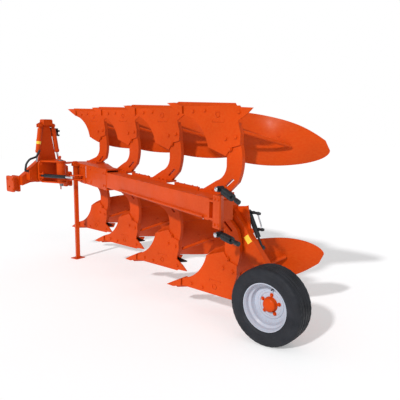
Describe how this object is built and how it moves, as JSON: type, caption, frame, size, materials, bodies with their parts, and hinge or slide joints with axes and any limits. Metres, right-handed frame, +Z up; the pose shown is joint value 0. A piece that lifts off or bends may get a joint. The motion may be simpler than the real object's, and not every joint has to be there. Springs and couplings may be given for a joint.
{
  "type": "moldboard plough",
  "caption": "Reversible moldboard plough, fully mounted, parked on its stand and depth wheel, with pairs of bodies along a square beam and a turnover headstock",
  "frame": {"origin": "centre of the footprint on the floor, below the middle of the whole parked machine", "axes": "+X is the way the plough is pulled, +Y is to its left (the land side of the lower bodies), +Z is up"},
  "size_m": [4.5532, 1.8951, 2.0926],
  "materials": {
    "frame_paint": "satin orange paint",
    "leaf_paint": "satin orange paint on soil-side steel",
    "rim_paint": "pale grey paint",
    "tyre_rubber": "matte black rubber",
    "ram_black": "black paint",
    "hose_rubber": "black hose rubber",
    "rod_chrome": "polished chrome",
    "bare_steel": "turned steel"
  },
  "bodies": {
    "headstock_body": {"chain_case": "frame_paint", "mast": "frame_paint", "mast_cap": "frame_paint", "top_link_ears": "frame_paint", "cross_beam": "frame_paint", "link_bracket_left": "frame_paint", "link_bracket_right": "frame_paint", "turnover_ram_left": "frame_paint", "turnover_ram_right": "frame_paint", "coupling_rack": "ram_black", "ram_hose": "hose_rubber"},
    "head_body": {"turning_head": "frame_paint", "turnover_shaft": "bare_steel", "chain_wheel": "bare_steel", "swing_lug": "frame_paint", "yoke_pin": "bare_steel"},
    "beam_body": {"console": "frame_paint", "main_beam": "frame_paint", "headers": "frame_paint", "rear_frame": "frame_paint", "stop_spindles": "ram_black", "adjusting_bar": "frame_paint", "arm_pivot_tube": "frame_paint", "stand_guides": "frame_paint", "swing_seat": "frame_paint", "frogs_lower": "frame_paint", "frogs_upper": "frame_paint", "shares_lower": "frame_paint", "shares_upper": "frame_paint", "stays_lower": "frame_paint", "stays_upper": "frame_paint", "leg_lower_1": "frame_paint", "leg_lower_2": "frame_paint", "leg_lower_3": "frame_paint", "leg_lower_4": "frame_paint", "leg_upper_1": "frame_paint", "leg_upper_2": "frame_paint", "leg_upper_3": "frame_paint", "leg_upper_4": "frame_paint", "moldboard_lower_1": "leaf_paint", "moldboard_lower_2": "leaf_paint", "moldboard_lower_3": "leaf_paint", "moldboard_lower_4": "leaf_paint", "moldboard_upper_1": "leaf_paint", "moldboard_upper_2": "leaf_paint", "moldboard_upper_3": "leaf_paint", "moldboard_upper_4": "leaf_paint"},
    "stand_body": {"stand": "frame_paint"},
    "arm_body": {"wheel_arm": "frame_paint", "arm_cylinder": "ram_black", "arm_shaft": "bare_steel", "axle": "bare_steel"},
    "wheel_body": {"wheel_hub": "frame_paint", "rim": "rim_paint", "tyre": "tyre_rubber"},
    "rod_left_body": {"turnover_rod_left": "rod_chrome"},
    "rod_right_body": {"turnover_rod_right": "rod_chrome"},
    "swing_ram_body": {"swing_ram": "ram_black"},
    "swing_rod_body": {"swing_rod": "rod_chrome"}
  },
  "joints": [
    {"name": "turnover", "type": "hinge", "parent": "headstock_body", "child": "head_body", "pos_m": [1.93246, 0.07644, 1.24499], "axis": [0.9983, 0, 0.0586], "range_deg": [0, 180]},
    {"name": "first_furrow_swing", "type": "hinge", "parent": "head_body", "child": "beam_body", "pos_m": [1.65294, 0.07644, 1.22859], "axis": [-0.0586, 0, 0.9983], "range_deg": [-5, 5]},
    {"name": "stand_slide", "type": "slide", "parent": "beam_body", "child": "stand_body", "axis": [-0.0586, 0, 0.9983], "range_m": [0, 0.55]},
    {"name": "wheel_arm_swing", "type": "hinge", "parent": "beam_body", "child": "arm_body", "pos_m": [-1.47584, 0.48647, 1.04501], "axis": [0, 1, 0], "range_deg": [0, 95]},
    {"name": "wheel_spin", "type": "hinge", "parent": "arm_body", "child": "wheel_body", "pos_m": [-1.96663, 0.67847, 0.31], "axis": [0, 1, 0], "continuous": true},
    {"name": "turnover_rod_left_slide", "type": "slide", "parent": "headstock_body", "child": "rod_left_body", "axis": [0.0579, 0.1495, -0.9871], "range_m": [-0.21991, 0]},
    {"name": "turnover_rod_right_slide", "type": "slide", "parent": "headstock_body", "child": "rod_right_body", "axis": [0.0579, -0.1495, -0.9871], "range_m": [0, 0.21991]},
    {"name": "swing_ram_tilt", "type": "hinge", "parent": "head_body", "child": "swing_ram_body", "pos_m": [1.84554, 0.23644, 1.1898], "axis": [-0.0586, 0, 0.9983], "range_deg": [-4, 4]},
    {"name": "swing_ram_slide", "type": "slide", "parent": "swing_ram_body", "child": "swing_rod_body", "axis": [-0.9586, -0.279, -0.0562], "range_m": [-0.03, 0.03]}
  ],
  "couplings": [
    {"joint": "turnover_rod_left_slide", "follows": "turnover", "m_per_rad": -0.07},
    {"joint": "turnover_rod_right_slide", "follows": "turnover", "m_per_rad": 0.07}
  ]
}
